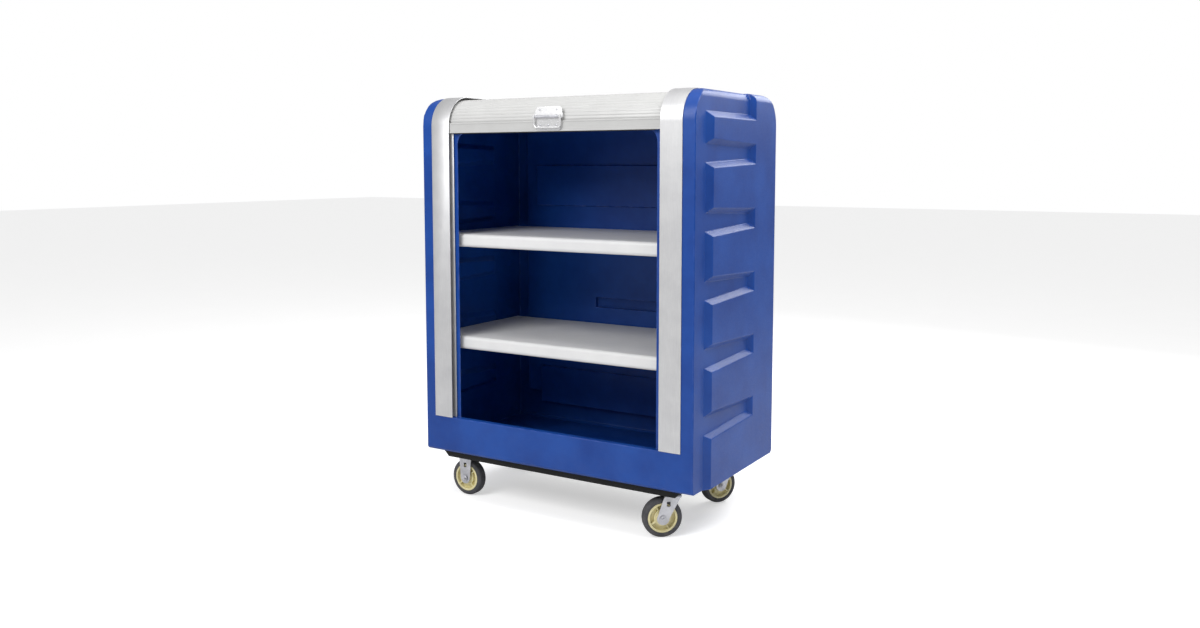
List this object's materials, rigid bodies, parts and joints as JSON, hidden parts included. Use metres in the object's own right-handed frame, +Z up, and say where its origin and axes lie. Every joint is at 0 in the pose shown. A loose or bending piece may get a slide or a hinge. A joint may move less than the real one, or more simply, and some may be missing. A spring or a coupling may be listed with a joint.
{
  "type": "housekeeping cart",
  "caption": "Moulded housekeeping cart with a slatted roll-up door in bent metal channels, fixed shelves and rigid and swivel casters.",
  "frame": {"origin": "On the floor, under the middle of the cart's overall box.", "axes": "+Z up, X along the cart's length with the swivel casters at +X, front with the door towards -Y."},
  "size_m": [1.295, 0.7208, 1.6853],
  "materials": {
    "housing": "satin moulded",
    "channel": "satin anodised",
    "slats": "satin",
    "bottom_bar": "satin painted",
    "seal": "matte",
    "pull": "bright plated",
    "shelf": "satin",
    "base_deck": "matte black",
    "base_frame": "matte black",
    "caster_steel": "zinc plated",
    "hub": "moulded",
    "tyre": "matte"
  },
  "bodies": {
    "cart": {"body_shell": "housing", "left_door_channel": "channel", "right_door_channel": "channel", "door_slats_front": "slats", "door_slats_front_bend": "slats", "door_slats_top": "slats", "door_slats_rear_bend": "slats", "door_slats_rear": "slats", "lower_shelf": "shelf", "upper_shelf": "shelf", "lower_shelf_right_angle": "shelf", "lower_shelf_left_angle": "shelf", "upper_shelf_right_angle": "shelf", "upper_shelf_left_angle": "shelf", "base_deck": "base_deck", "base_front_rail": "base_frame", "base_rear_rail": "base_frame", "base_right_beam": "base_frame", "base_left_beam": "base_frame", "front_left_caster_plate": "caster_steel", "front_left_caster_fork": "caster_steel", "front_left_caster_axle": "caster_steel", "front_left_caster_axle_nut": "caster_steel", "front_left_caster_sleeve": "caster_steel", "rear_left_caster_plate": "caster_steel", "rear_left_caster_fork": "caster_steel", "rear_left_caster_axle": "caster_steel", "rear_left_caster_axle_nut": "caster_steel", "rear_left_caster_sleeve": "caster_steel", "front_right_caster_plate": "caster_steel", "front_right_caster_raceway": "caster_steel", "front_right_caster_kingpin": "caster_steel", "rear_right_caster_plate": "caster_steel", "rear_right_caster_raceway": "caster_steel", "rear_right_caster_kingpin": "caster_steel"},
    "door": {"door_bottom_bar": "bottom_bar", "door_bottom_seal": "seal", "pull_plate": "pull", "pull_pin": "pull"},
    "bail": {"pull_bail": "pull"},
    "front_left_caster_wheel": {"front_left_caster_hub": "hub", "front_left_caster_tyre": "tyre"},
    "rear_left_caster_wheel": {"rear_left_caster_hub": "hub", "rear_left_caster_tyre": "tyre"},
    "front_right_caster_swivel": {"front_right_caster_fork": "caster_steel", "front_right_caster_axle": "caster_steel", "front_right_caster_axle_nut": "caster_steel", "front_right_caster_sleeve": "caster_steel"},
    "front_right_caster_wheel": {"front_right_caster_hub": "hub", "front_right_caster_tyre": "tyre"},
    "rear_right_caster_swivel": {"rear_right_caster_fork": "caster_steel", "rear_right_caster_axle": "caster_steel", "rear_right_caster_axle_nut": "caster_steel", "rear_right_caster_sleeve": "caster_steel"},
    "rear_right_caster_wheel": {"rear_right_caster_hub": "hub", "rear_right_caster_tyre": "tyre"}
  },
  "joints": [
    {"name": "door_slide", "type": "slide", "parent": "cart", "child": "door", "axis": [0, 0, -1], "range_m": [0, 1.1757], "deforming": ["door_slats_front"]},
    {"name": "bail_hinge", "type": "hinge", "parent": "door", "child": "bail", "pos_m": [0, -0.35335, 1.59], "axis": [-1, 0, 0], "range_deg": [0, 95]},
    {"name": "front_left_caster_wheel_spin", "type": "hinge", "parent": "cart", "child": "front_left_caster_wheel", "pos_m": [-0.487, -0.23945, 0.0762], "axis": [0, 1, 0], "continuous": true},
    {"name": "rear_left_caster_wheel_spin", "type": "hinge", "parent": "cart", "child": "rear_left_caster_wheel", "pos_m": [-0.487, 0.25055, 0.0762], "axis": [0, 1, 0], "continuous": true},
    {"name": "front_right_caster_swivel_turn", "type": "hinge", "parent": "cart", "child": "front_right_caster_swivel", "pos_m": [0.487, -0.23945, 0.18], "axis": [0, 0, 1], "continuous": true},
    {"name": "front_right_caster_wheel_spin", "type": "hinge", "parent": "front_right_caster_swivel", "child": "front_right_caster_wheel", "pos_m": [0.45747, -0.26336, 0.0762], "axis": [-0.6293, 0.7771, 0], "continuous": true},
    {"name": "rear_right_caster_swivel_turn", "type": "hinge", "parent": "cart", "child": "rear_right_caster_swivel", "pos_m": [0.487, 0.25055, 0.18], "axis": [0, 0, 1], "continuous": true},
    {"name": "rear_right_caster_wheel_spin", "type": "hinge", "parent": "rear_right_caster_swivel", "child": "rear_right_caster_wheel", "pos_m": [0.4663, 0.21868, 0.0762], "axis": [-0.8387, 0.5446, 0], "continuous": true}
  ]
}
